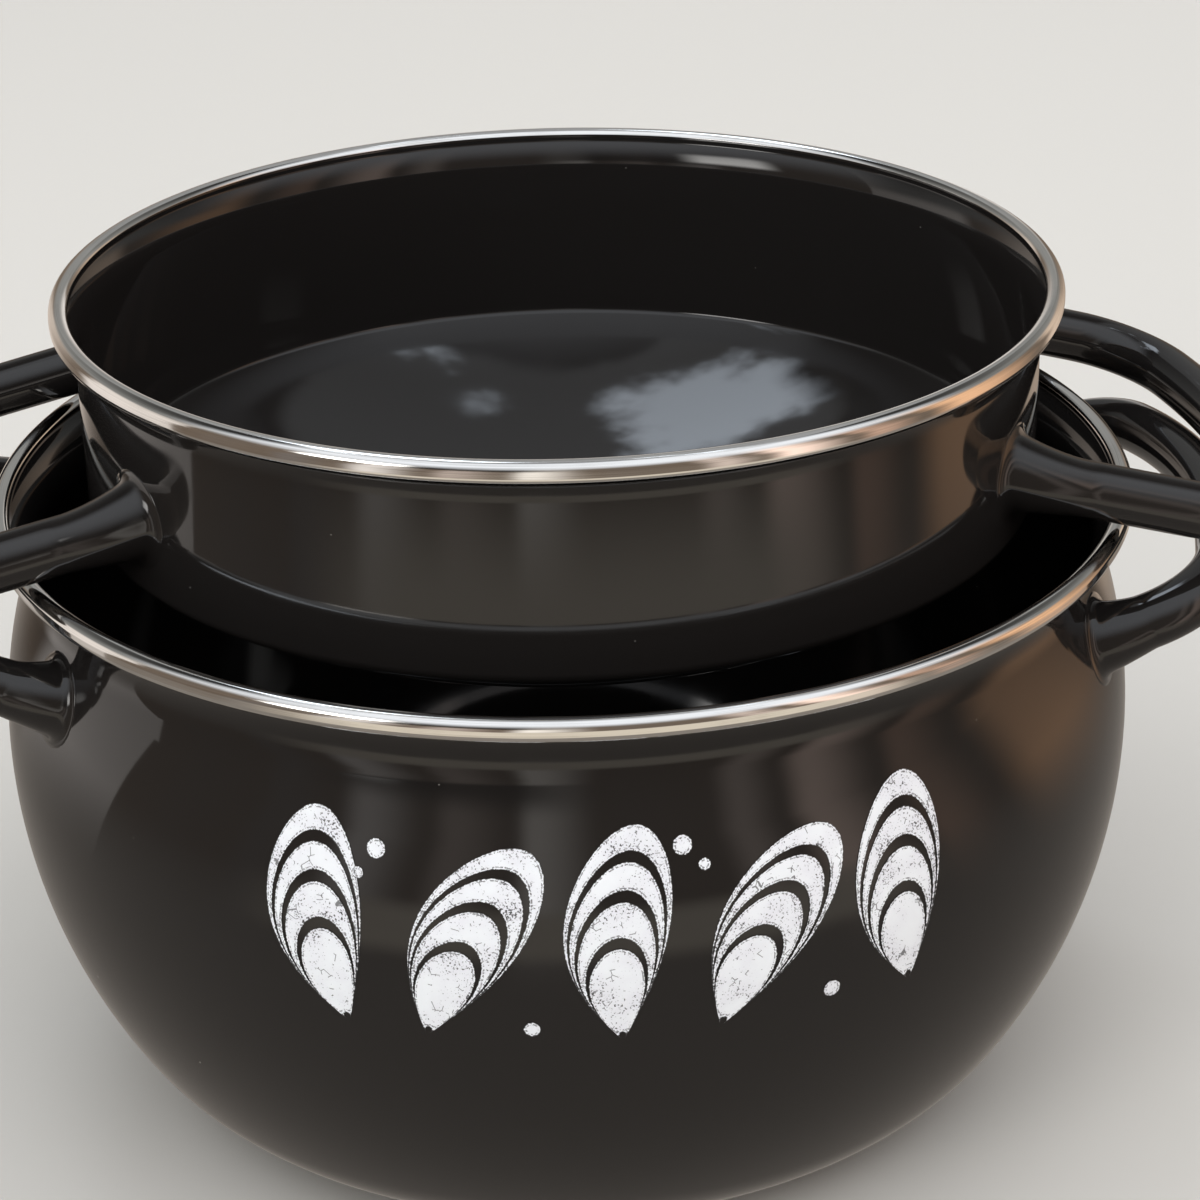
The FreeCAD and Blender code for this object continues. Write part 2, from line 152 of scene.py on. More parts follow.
# Black enamel, pot and lid; a scale is per metre
enamel = {
    "colour": (0.0118, 0.0106, 0.0100),
    "dustColour": (0.30, 0.29, 0.27),
    "gloss": 0.05,              # roughness where it is clean
    "smearGloss": 0.11,         # roughness under faint smears
    "smearScale": 22.0,
    "smearCover": (0.5, 0.72),  # the noise at which a smear begins and is full
    "rippleSize": 7.0,          # waves of the fired coat, mm
    "rippleHeight": 0.0035,     # mm
    "peelSize": 1.6,            # fine orange peel, mm
    "peelHeight": 0.0004,       # mm
    "dustCell": 9.0,            # a cell holds one speck or none, mm
    "dustFree": 0.45,           # share of the cells without a speck
    "dustSize": 0.17,           # mm
    "dustSpread": (0.45, 1.35), # smallest and largest speck, as shares of that size
    "dustCover": 0.8,           # how far a speck hides the black
    "dustGloss": 0.4,           # roughness that a speck adds
}


def makeEnamel():
    finish, graph = newFinish("blackEnamel")
    place = graph.place()
    ripple = graph.noise(place, 1 / (enamel["rippleSize"] * millimetre), 1.0)
    peel = graph.noise(place, 1 / (enamel["peelSize"] * millimetre), 1.0)
    smear = graph.step(graph.noise(place, enamel["smearScale"], 4.0, 0.62), *enamel["smearCover"])
    scale = 1 / (enamel["dustCell"] * millimetre)
    dust = graph.add("ShaderNodeTexVoronoi", {}, {"Vector": place, "Scale": scale})
    pick, size = graph.parts(dust.other("Color"))[:2]
    smallest, largest = enamel["dustSpread"]
    reach = enamel["dustSize"] / enamel["dustCell"] * (smallest + size * (largest - smallest))
    speck = (dust < reach) * (pick > enamel["dustFree"])
    colour = graph.blend(speck * enamel["dustCover"], enamel["colour"], enamel["dustColour"])
    height = ripple * enamel["rippleHeight"] + peel * enamel["peelHeight"]
    bump = graph.add("ShaderNodeBump", {}, {"Height": height, "Strength": 1.0, "Distance": millimetre})
    clean = enamel["gloss"]
    gloss = clean + smear * (enamel["smearGloss"] - clean) + speck * enamel["dustGloss"]
    closeFinish(graph, {"Base Color": colour, "Roughness": gloss, "IOR": 1.5, "Normal": bump})
    return finish


# Polished steel of the two trims; a scale is per metre
steel = {
    "colour": (0.76, 0.745, 0.72),
    "worn": (0.60, 0.585, 0.56),
    "gloss": 0.05,
    "brushedGloss": 0.13,
    "patchScale": 60.0,         # patches that are handled more
    "patchCover": (0.35, 0.7),  # the noise at which a patch begins and is full
    "lineWidth": 0.14,          # polishing lines that run round the rim, mm
    "lineTurns": 3.0,           # how often a line changes on its way round, per radian
    "lineHeight": 0.0005,       # mm
    "lineShare": 0.6,           # of the lines in the wear, the rest is the patches'
    "wear": (0.45, 0.68),       # where the worn colour begins and is full
    "waveLength": 9.0,          # slow waves left by the crimping rolls, mm
    "waveHeight": 0.012,        # mm
}


def makeSteel():
    finish, graph = newFinish("polishedSteel")
    place = graph.place()
    x, y, z = graph.parts(place)
    outward = graph.maths("SQRT", x * x + y * y)
    around = graph.maths("ARCTAN2", y, x) * steel["lineTurns"]
    line = 1 / (steel["lineWidth"] * millimetre)
    lanes = graph.add("ShaderNodeCombineXYZ", {}, {0: outward * line, 1: z * line, 2: around})
    lines = graph.noise(lanes, 1.0, 2.0, 0.6)
    patches = graph.noise(place, steel["patchScale"], 3.0)
    worn = graph.step(lines * steel["lineShare"] + patches * (1 - steel["lineShare"]), *steel["wear"])
    colour = graph.blend(worn, steel["colour"], steel["worn"])
    gloss = graph.step(patches, *steel["patchCover"], steel["gloss"], steel["brushedGloss"])
    waves = graph.noise(place, 1 / (steel["waveLength"] * millimetre), 1.0)
    height = lines * steel["lineHeight"] + waves * steel["waveHeight"]
    bump = graph.add("ShaderNodeBump", {}, {"Height": height, "Strength": 1.0, "Distance": millimetre})
    closeFinish(graph, {"Base Color": colour, "Metallic": 1.0, "Roughness": gloss, "Normal": bump})
    return finish


# A profile is a run of points: mm out from the axis, mm up, and the run's direction there
def onCircle(centre, radius, angle):
    swing = math.radians(angle)
    return centre[0] + radius * math.cos(swing), centre[1] + radius * math.sin(swing)


def bearing(centre, point):
    return math.degrees(math.atan2(point[1] - centre[1], point[0] - centre[0]))


def bow(centre, radius, first, last):
    # an arc from one angle to another
    swept = abs(last - first)
    side = 1 if last > first else -1
    widest = 4 if radius > 5 else 9     # degrees from point to point
    longest = 2.5                       # mm from point to point
    count = max(3, math.ceil(swept / widest), math.ceil(math.radians(swept) * radius / longest))
    run = []
    for step in range(count + 1):
        turn = math.radians(first + (last - first) * step / count)
        out, up = math.cos(turn), math.sin(turn)
        run.append((centre[0] + radius * out, centre[1] + radius * up, -up * side, out * side))
    return run


def straight(start, end, count=1):
    apart = math.dist(start, end)
    way = ((end[0] - start[0]) / apart, (end[1] - start[1]) / apart)
    run = []
    for step in range(count + 1):
        share = step / count
        run.append((start[0] + way[0] * apart * share, start[1] + way[1] * apart * share, *way))
    return run


def backward(runs):
    return [
        [(out, up, -alongOut, -alongUp) for out, up, alongOut, alongUp in run[::-1]]
        for run in runs[::-1]
    ]


def cutBack(run, reach):
    # the run without its first few mm
    gone = 0
    for index in range(len(run) - 1):
        first, second = run[index], run[index + 1]
        apart = math.dist(first[:2], second[:2])
        if gone + apart > reach:
            share = (reach - gone) / apart
            middle = [one + (other - one) * share for one, other in zip(first, second)]
            size = math.hypot(middle[2], middle[3])
            return [(middle[0], middle[1], middle[2] / size, middle[3] / size)] + run[index + 1:]
        gone += apart
    return run[-1:]


def joined(runs, reach, closed=False):
    # one profile of several runs, its corners rounded over a reach on both sides
    smoothTurn = 0.03           # runs that turn by less, as a sine, have no corner between them

    def rounded(before, corner, after):
        turn = []
        for share in (1 / 6, 1 / 3, 1 / 2, 2 / 3, 5 / 6):
            rest = 1 - share
            place, way = [], []
            for first, knee, last in zip(before[:2], corner[:2], after[:2]):
                place.append(rest * rest * first + 2 * share * rest * knee + share * share * last)
                way.append(rest * (knee - first) + share * (last - knee))
            size = math.hypot(*way)
            turn.append((*place, way[0] / size, way[1] / size))
        return turn

    profile = list(runs[0])
    for run in runs[1:]:
        corner = run[0]
        if abs(profile[-1][2] * corner[3] - profile[-1][3] * corner[2]) < smoothTurn:
            profile += run[1:]
            continue
        profile = cutBack(profile[::-1], reach)[::-1]
        run = cutBack(run, reach)
        profile += rounded(profile[-1], corner, run[0]) + run
    if closed:
        corner = profile[0]
        profile = cutBack(cutBack(profile, reach)[::-1], reach)[::-1]
        profile += rounded(profile[-1], corner, profile[0])
    return profile


surfaces = {}                   # the surface of each made piece, for what lies on it


def makePiece(name, rings, closed, finish, stands, normals=None):
    # rings of points, each a single point or as many as the others, become one skin
    shape = bmesh.new()
    laid = [[shape.verts.new(point) for point in ring] for ring in rings]
    for lower, upper in zip(laid, laid[1:] + laid[:1] if closed else laid[1:]):
        count = max(len(lower), len(upper))
        for index in range(count):
            following = (index + 1) % count
            corners = [lower[index % len(lower)], lower[following % len(lower)]]
            corners += [upper[following % len(upper)], upper[index % len(upper)]]
            corners = [corner for place, corner in enumerate(corners) if corner not in corners[:place]]
            shape.faces.new(corners).smooth = True
    mesh = bpy.data.meshes.new(name)
    shape.to_mesh(mesh)
    shape.free()
    if normals:
        mesh.normals_split_custom_set_from_vertices(normals)
    piece = bpy.data.objects.new(name, mesh)
    bpy.context.scene.collection.objects.link(piece)
    mesh.materials.append(finish)
    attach(piece, "root")
    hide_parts(stands)
    bpy.context.view_layer.update()
    surfaces[name] = BVHTree.FromObject(piece, bpy.context.evaluated_depsgraph_get())


def turned(name, profile, closed, finish, stands):
    # turns a profile all round the axis
    around = 256
    onAxis = 0.001              # a point that is nearer, in mm, lies on the axis
    rings, normals = [], []
    for out, up, alongOut, alongUp in profile:
        turns = [2 * math.pi * index / around for index in range(1 if out < onAxis else around)]
        spokes = [(math.cos(turn), math.sin(turn)) for turn in turns]
        rings.append([Vector((out * x, out * y, up)) * millimetre for x, y in spokes])
        normals += [(alongUp * x, alongUp * y, -alongOut) for x, y in spokes]
    makePiece(name, rings, closed, finish, stands, normals)


# The pot and the lid, in mm, as their solids have them but for the pot lip's height, the trims' leg,
# the dome and the soft edges
sheetThickness = 1.2
lip = {
    "radius": 1.45,
    "trimGap": 0.25,
    "trimThickness": 0.35,
    "trimInside": 155,          # where the trim ends, degrees round the lip
    "trimOutside": -75,
    "trimLeg": 0.85,            # upright stretch of the trim's outside
}
pot = {
    "rimRadius": 118.0,
    "rimHeight": 133.7,         # over the foot
    "bellyRadius": 121.0,
    "bellyHeight": 82.0,
    "shoulderRadius": 105.0,
    "neckCurve": 11.7,
    "footRadius": 68.0,
    "cornerRadius": 42.0,
    "footRing": 7.0,
    "footRecess": 1.2,
    "softEdge": 0.7,            # the enamel rounds off each pressed edge over this much
}
trimTop = lip["radius"] + lip["trimGap"] + lip["trimThickness"]
lid = {
    "rimRadius": 102.0,
    "rimHeight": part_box("lid_rim")[1][2] / millimetre - trimTop,
    "wallRadius": 99.5,
    "wallFoot": 41.5,           # middle of the lip down to the middle of the bottom corner
    "cornerRadius": 2.8,
    "domeRadius": 184.0,        # the lid's top is a shallow dome, here the bowl's bottom
    "neckCurve": 10.0,
    "softEdge": 0.5,
}


def neckAndLip(hollow, radius, start, middle):
    # outside of the neck, once round the lip and the inside of the neck; start is the neck's lower angle
    toHollow = bearing(middle, hollow)
    apart = radius + sheetThickness / 2
    inner = radius + sheetThickness
    turns = []
    for reach in (radius, inner):
        share = (apart**2 + lip["radius"]**2 - reach**2) / (2 * apart * lip["radius"])
        turns.append(toHollow - math.degrees(math.acos(share)))
    meets = [onCircle(middle, lip["radius"], turn) for turn in turns]
    outside = bow(hollow, radius, start, bearing(hollow, meets[0]) % 360)
    inside = bow(hollow, inner, bearing(hollow, meets[1]) % 360, start)
    return outside, bow(middle, lip["radius"], turns[0], turns[1] + 360), inside


def potBottom(inward):
    # from the axis out, pressed up inside a flat ring; inward is 0 for the outside of the sheet
    panelRadius = pot["footRadius"] - pot["footRing"] + inward * (math.sqrt(2) - 1)
    panelEdge = (panelRadius - pot["footRecess"], pot["footRecess"] + inward)
    ringEdge = (panelRadius, inward)
    return [
        straight((0, pot["footRecess"] + inward), panelEdge, 6),
        straight(panelEdge, ringEdge, 2),
        straight(ringEdge, (pot["footRadius"], inward), 2),
    ]


def potProfile():
    foot, corner = pot["footRadius"], pot["cornerRadius"]
    belly, widest = pot["bellyRadius"], pot["bellyHeight"]
    shoulder, hollow = pot["shoulderRadius"], pot["neckCurve"]
    middle = (pot["rimRadius"], pot["rimHeight"])
    # the belly's long lower curve runs smoothly into the bottom corner
    reach, rise = belly - foot, widest - corner
    side = (reach**2 + rise**2 - corner**2) / (2 * (reach - corner))
    cornerCentre, sideCentre = (foot, corner), (belly - side, widest)
    shoulderCentre = (belly - shoulder, widest)
    # the neck's centre lies on two circles, outside the line from the shoulder's centre to the lip
    first, second = shoulder + hollow, hollow + sheetThickness / 2
    across, up = middle[0] - shoulderCentre[0], middle[1] - shoulderCentre[1]
    apart = math.hypot(across, up)
    along = (first**2 - second**2 + apart**2) / (2 * apart)
    aside = math.sqrt(first**2 - along**2)
    across, up = across / apart, up / apart
    neckX = shoulderCentre[0] + along * across + aside * up
    neck = (neckX, shoulderCentre[1] + along * up - aside * across)
    joint, crease = bearing(sideCentre, cornerCentre), bearing(shoulderCentre, neck)
    outside, edge, inside = neckAndLip(neck, hollow, crease + 180, middle)

    def wall(inward):
        return potBottom(inward) + [
            bow(cornerCentre, corner - inward, -90, joint),
            bow(sideCentre, side - inward, joint, 0),
            bow(shoulderCentre, shoulder - inward, 0, crease),
        ]

    return joined(wall(0) + [outside, edge, inside] + backward(wall(sheetThickness)), pot["softEdge"])


def shoulderAt(height):
    # how far out the pot's shoulder is at a height
    rise = height - pot["bellyHeight"]
    return pot["bellyRadius"] - pot["shoulderRadius"] + math.sqrt(pot["shoulderRadius"]**2 - rise**2)


def lidProfile():
    wallRadius, corner, hollow = lid["wallRadius"], lid["cornerRadius"], lid["neckCurve"]
    middle = (lid["rimRadius"], lid["rimHeight"])
    foot, dome = lid["rimHeight"] - lid["wallFoot"], lid["domeRadius"]
    domeCentre = (0, foot + math.sqrt((dome - corner)**2 - (wallRadius - corner)**2))
    joint = bearing(domeCentre, (wallRadius - corner, foot))
    drop = math.sqrt((hollow + sheetThickness / 2)**2 - (wallRadius + hollow - middle[0])**2)
    neck = (wallRadius + hollow, middle[1] - drop)
    outside, edge, inside = neckAndLip(neck, hollow, 180, middle)

    def wall(inward):
        return [
            bow(domeCentre, dome - inward, -90, joint),
            bow((wallRadius - corner, foot), corner - inward, joint, 0),
            straight((wallRadius - inward, foot), (wallRadius - inward, neck[1]), 6),
        ]

    return joined(wall(0) + [outside, edge, inside] + backward(wall(sheetThickness)), lid["softEdge"])


def trimProfile(sizes):
    # up the leg from its outer end below, over the lip to the inner end, and back along the lip
    out, up = sizes["rimRadius"], sizes["rimHeight"]
    foot = up - lip["trimLeg"]
    face, back = trimTop, trimTop - lip["trimThickness"]
    innerEnd = [onCircle((out, up), reach, lip["trimInside"]) for reach in (face, back)]
    outerEnd = [onCircle((out, foot), reach, lip["trimOutside"]) for reach in (back, face)]
    runs = [
        bow((out, foot), face, lip["trimOutside"], 0),
        straight((out + face, foot), (out + face, up), 2),
        bow((out, up), face, 0, lip["trimInside"]),
        straight(*innerEnd),
        bow((out, up), back, lip["trimInside"], 0),
        straight((out + back, up), (out + back, foot), 2),
        bow((out, foot), back, 0, lip["trimOutside"]),
        straight(*outerEnd),
    ]
    return joined(runs, lip["trimThickness"] * 0.3, closed=True)


# The loop handles, in mm, as their solids have them
handle = {
    "grip": 5.75,
    "span": 100.0,
    "corner": 21.0,
    "bow": 120.0,
    "rootRadius": 9.2,
    "rootDepth": 5.0,
    "waistRadius": 6.8,
    "waistShare": 0.35,
    "tuck": 0.2,
    "weld": 1.9,                # enamel that fills the crease round a root
    "sunk": 0.3,                # the skin ends this deep in the wall
    "beforeBend": 0.4,          # the flare ends at the latest this much before the bend
    "around": 48,
}
potHandle = {"reach": 139.5, "height": 111.0, "tilt": 20.0, "rootLength": 11.0}
lidHandle = {"reach": 146.5, "height": lid["rimHeight"] - 28.0, "tilt": -14.5, "rootLength": 17.0}


def handleRings(sizes, wallRadius, wall):
    # rings of points along a right-hand handle, from one weld to the other
    half, grip, around = handle["span"] / 2, handle["grip"], handle["around"]
    rootX = math.sqrt(wallRadius**2 - half**2)
    tilt, swing = math.radians(sizes["tilt"]), math.radians(bearing((0, 0), (rootX, half)))
    level, steep = math.cos(tilt), math.sin(tilt)
    start = Vector((rootX, 0, sizes["height"]))
    spins = [2 * math.pi * index / around for index in range(around)]

    def placed(x, y, z):
        return (start + Vector((x * level - z * steep, y, x * steep + z * level))) * millimetre

    # the loop's middle line: places and directions that point out of the loop
    far = (sizes["reach"] - rootX) / level
    bend, outer = handle["corner"], handle["bow"]
    outerCentre = far - outer
    bendX = outerCentre + math.sqrt((outer - bend)**2 - (half - bend)**2)
    turn = bearing((outerCentre, 0), (bendX, half - bend))
    rootLength = sizes["rootLength"]
    flareEnd = min(rootLength, bendX - handle["beforeBend"])
    legSteps, bendSteps, outerSteps = 9, 24, 13
    line = []
    for step in range(1, legSteps):
        line.append((flareEnd + (bendX - flareEnd) * step / legSteps, half, 90))
    for step in range(bendSteps + 1):
        angle = 90 + (turn - 90) * step / bendSteps
        line.append((*onCircle((bendX, half - bend), bend, angle), angle))
    for step in range(1, outerSteps + 1):
        angle = turn * (1 - step / outerSteps)
        line.append((*onCircle((outerCentre, 0), outer, angle), angle))
    bar = []
    for x, y, angle in line:
        outX, outY = math.cos(math.radians(angle)), math.sin(math.radians(angle))
        ring = []
        for spin in spins:
            outward = grip * math.cos(spin)
            ring.append((x + outward * outX, y + outward * outY, grip * math.sin(spin)))
        bar.append(ring)

    # the flare: curves through three circles, from inside the wall to the leg
    depth = handle["rootDepth"]
    circles = (
        (-depth * math.cos(swing), half - depth * math.sin(swing), handle["rootRadius"], swing),
        (rootLength * handle["waistShare"], half, handle["waistRadius"], swing / 2),
        (rootLength, half, grip - handle["tuck"], 0),
    )
    legs = [math.dist(one[:2], other[:2]) for one, other in zip(circles, circles[1:])]
    knee = legs[0] / sum(legs)

    def shares(share):
        near = (share - knee) * (share - 1) / knee
        waist = share * (share - 1) / (knee * (knee - 1))
        return near, waist, share * (share - knee) / (1 - knee)

    def flare(spin, share):
        # a point of the flare, never thinner than the bar
        x = y = z = 0
        for weight, (centreX, centreY, radius, lean) in zip(shares(share), circles):
            x += weight * (centreX - radius * math.cos(spin) * math.sin(lean))
            y += weight * (centreY + radius * math.cos(spin) * math.cos(lean))
            z += weight * radius * math.sin(spin)
        apart = math.hypot(y - half, z)
        soft = 0.5 * (1 - share)
        wider = (apart + grip + math.sqrt((apart - grip)**2 + soft * soft)) / 2 / apart
        return x, half + (y - half) * wider, z * wider

    def overWall(point):
        spot, normal = wall.find_nearest(placed(*point))[:2]
        return (placed(*point) - spot).dot(normal) / millimetre, spot, normal

    # each lengthwise line of the root: the weld's curve from the wall, then the flare to the leg
    end = 1.0
    while sum(weight * circle[0] for weight, circle in zip(shares(end), circles)) > flareEnd:
        end -= 0.002
    legSpot, legNormal = wall.find_nearest(placed(0, half, 0))[:2]
    sunk = handle["sunk"] * millimetre
    weldSteps, flareSteps = 6, 14
    columns = []
    for spin in spins:
        share, open, meet = 1.0, None, None
        while meet is None:
            share -= 0.004
            height, spot, normal = overWall(flare(spin, share))
            if open is None and height < handle["weld"]:
                open = share
            if height < 0.01:
                meet = spot
        away = meet - legSpot
        away = (away - normal * away.dot(normal)).normalized()
        foot, footNormal = wall.find_nearest(meet + away * handle["weld"] * millimetre)[:2]
        top = placed(*flare(spin, open))
        column = [foot - footNormal * sunk]
        for step in range(weldSteps + 1):
            part = step / weldSteps
            column.append(foot * (1 - part)**2 + meet * 2 * part * (1 - part) + top * part**2)
        for step in range(1, flareSteps + 1):
            column.append(placed(*flare(spin, open + (end - open) * step / flareSteps)))
        columns.append(column)
    root = [[column[row] for column in columns] for row in range(len(columns[0]))]
    near = [[legSpot - legNormal * sunk]] + root + [[placed(*point) for point in ring] for ring in bar]
    mirrored = [[Vector((point.x, -point.y, point.z)) for point in ring] for ring in near[-2::-1]]
    return near + mirrored


def makeHandles(kind, sizes, wallRadius, finish):
    # a right and a left handle of the pot or the lid; wallRadius is the wall's at the roots
    rings = handleRings(sizes, wallRadius, surfaces[kind + "Body"])
    makePiece(kind + "HandleRight", rings, False, finish, kind + "_handle_right")
    rings = [[Vector((-point.x, point.y, point.z)) for point in ring[::-1]] for ring in rings]
    makePiece(kind + "HandleLeft", rings, False, finish, kind + "_handle_left")


# White print of mussel shells on the front of the belly
shellPrint = {
    "middleAngle": -91.3,       # round the pot, degrees
    "middleHeight": 90.0,       # mm over the foot
    "lift": 0.12,               # thickness of the ink over the enamel, mm
    "shellLength": 43.0,
    "shellSpread": 33.0,        # half the angle at the shell's point, degrees
    "shellBlunt": 0.42,         # the less, the blunter the shell's broad end
    "shellBend": 0.0045,        # bow of the shell's axis, per mm
    "shellTaper": 0.25,         # how far the broad end is drawn in
    "shellSpacing": 28.5,
    "leans": (-21, 15, -8, 19, -13),
    "growthBands": ((0.05, 0.47), (0.52, 0.68), (0.73, 0.85), (0.895, 1.0)),
    "dots": (                   # mm along and up from the print's middle, and radius
        (-43, 17, 1.9),
        (-46.5, 12, 1.2),
        (15, 18, 1.9),
        (19, 14, 1.2),
        (-14, -18, 1.6),
        (44, -17, 1.8),
    ),
}

# The ink is worn: scales are per metre, and the limits with them are values of the noises
ink = {
    "colour": (0.84, 0.87, 0.90),
    "patchColour": (0.78, 0.79, 0.84),
    "fleckColour": (0.035, 0.035, 0.036),
    "gloss": 0.42,
    "grainScale": 2400.0,
    "grainHeight": 0.03,        # mm
    "patchScale": 150.0,
    "patches": (0.3, 0.7),      # where the patches' colour begins and is full
    "pinholes": (0.90, 0.98),   # of the grain and a share of the patches
    "pinholePatches": 0.55,
    "crackScale": 520.0,
    "crackWidth": 0.035,        # to the size of a cell between cracks
    "crackDepth": 0.8,          # how far a crack shows the enamel
    "crackedScale": 330.0,      # places that have cracks
    "cracked": 0.63,
    "rubbed": (0.32, 0.62),     # a rubbed line along the edge, mm from it
    "rubbedGrain": 0.50,
    "rubbedDepth": 0.75,
    "raggedGrain": 0.36,        # the edge is eaten away where the grain is over this
    "raggedReach": 0.9,         # mm
}


def makeInk():
    finish, graph = newFinish("whitePrint")
    place = graph.place()
    edge = graph.add("ShaderNodeAttribute", {"attribute_name": "edgeDistance"}, {}, "Fac")
    grain = graph.noise(place, ink["grainScale"], 2.0, 0.6)
    patches = graph.noise(place, ink["patchScale"], 2.0)
    pinholes = graph.step(grain + patches * ink["pinholePatches"], *ink["pinholes"])
    sockets = {"Vector": place, "Scale": ink["crackScale"]}
    cracks = graph.add("ShaderNodeTexVoronoi", {"feature": "DISTANCE_TO_EDGE"}, sockets)
    cracks = (cracks < ink["crackWidth"]) * (graph.noise(place, ink["crackedScale"], 1.0) > ink["cracked"])
    near, far = ink["rubbed"]
    rubbed = (edge > near) * (edge < far) * (grain > ink["rubbedGrain"])
    ragged = edge < (grain - ink["raggedGrain"]) * ink["raggedReach"]
    inside = graph.maths("MAXIMUM", pinholes, cracks * ink["crackDepth"])
    outside = graph.maths("MAXIMUM", rubbed * ink["rubbedDepth"], ragged)
    dark = graph.maths("MAXIMUM", inside, outside)
    tone = graph.blend(graph.step(patches, *ink["patches"]), ink["colour"], ink["patchColour"])
    colour = graph.blend(dark, tone, ink["fleckColour"])
    sockets = {"Height": grain, "Strength": 0.35, "Distance": ink["grainHeight"] * millimetre}
    bump = graph.add("ShaderNodeBump", {}, sockets)
    closeFinish(graph, {"Base Color": colour, "Roughness": ink["gloss"], "IOR": 1.5, "Normal": bump})
    return finish


def onBelly(along, up):
    # a point of the flat drawing, in mm from its middle, laid on the enamel from well outside it
    turn = math.radians(shellPrint["middleAngle"]) + along / pot["bellyRadius"]
    outward = Vector((math.cos(turn), math.sin(turn), 0))
    height = (shellPrint["middleHeight"] + up) * millimetre
    start = outward * pot["bellyRadius"] * millimetre * 1.3 + Vector((0, 0, height))
    spot, normal = surfaces["potBody"].ray_cast(start, -outward)[:2]
    return spot + normal * shellPrint["lift"] * millimetre


def layPrint(name, rows, finish):
    # rows of points (along, up, distance to the print's edge) become one thin skin on the belly
    mesh = bpy.data.meshes.new(name)
    skin = bmesh.new()
    edge = skin.verts.layers.float.new("edgeDistance")
    laid = []
    for row in rows:
        laid.append([])
        for along, up, distance in row:
            vertex = skin.verts.new(onBelly(along, up))
            vertex[edge] = distance
            laid[-1].append(vertex)
    for lower, upper in zip(laid, laid[1:]):
        for first in range(len(lower) - 1):
            skin.faces.new((lower[first], lower[first + 1], upper[first + 1], upper[first])).smooth = True
    bmesh.ops.remove_doubles(skin, verts=skin.verts, dist=0.01 * millimetre)
    bmesh.ops.recalc_face_normals(skin, faces=skin.faces)
    outwardFace = next(iter(skin.faces))
    if outwardFace.normal.dot(outwardFace.calc_center_median() * Vector((1, 1, 0))) < 0:
        bmesh.ops.reverse_faces(skin, faces=skin.faces)
    skin.to_mesh(mesh)
    skin.free()
    piece = bpy.data.objects.new(name, mesh)
    bpy.context.scene.collection.objects.link(piece)
    mesh.materials.append(finish)
    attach(piece, "root")


def shellRim(share):
    # how far the shell's outline is from its point, at a share from one side to the other
    return shellPrint["shellLength"] * math.cos(math.pi / 2 * (2 * share - 1)) ** shellPrint["shellBlunt"]


def drawShell(name, middle, lean, finish):
    across, steps = 72, 8
    nearby = 0.004              # share over which the outline's slope is taken
    spread, length = math.radians(shellPrint["shellSpread"]), shellPrint["shellLength"]
    upright, sloped = math.cos(math.radians(lean)), math.sin(math.radians(lean))
    for band, (inner, outer) in enumerate(shellPrint["growthBands"], start=1):
        rows = []
        for step in range(steps + 1):
            size = inner + (outer - inner) * step / steps
            row = []
            for index in range(1, across):
                share = index / across
                angle = spread * (2 * share - 1)
                reach = shellRim(share)
                rise = shellRim(min(1, share + nearby)) - shellRim(share - nearby)
                slope = rise / (4 * nearby * spread)
                clear = reach * reach / math.hypot(reach, slope)
                distance = min(outer - size, size - inner) * clear
                x, y = size * reach * math.sin(angle), size * reach * math.cos(angle)
                x += shellPrint["shellBend"] * y * y - shellPrint["shellTaper"] * x * y / length
                y -= length / 2
                row.append((middle + x * upright + y * sloped, y * upright - x * sloped, distance))
            rows.append(row)
        layPrint(f"{name}_band{band}", rows, finish)


def drawDot(name, along, up, radius, finish):
    around, steps = 28, 4
    rows = []
    for step in range(steps + 1):
        size = radius * step / steps
        row = []
        for index in range(around + 1):
            turn = 2 * math.pi * index / around
            row.append((along + size * math.cos(turn), up + size * math.sin(turn), radius - size))
        rows.append(row)
    layPrint(name, rows, finish)


def printFront():
    finish = makeInk()
    leans = shellPrint["leans"]
    for index, lean in enumerate(leans):
        middle = (index - (len(leans) - 1) / 2) * shellPrint["shellSpacing"]
        drawShell(f"printedShell{index + 1}", middle, lean, finish)
    for index, dot in enumerate(shellPrint["dots"], start=1):
        drawDot(f"printedDot{index}", *dot, finish)


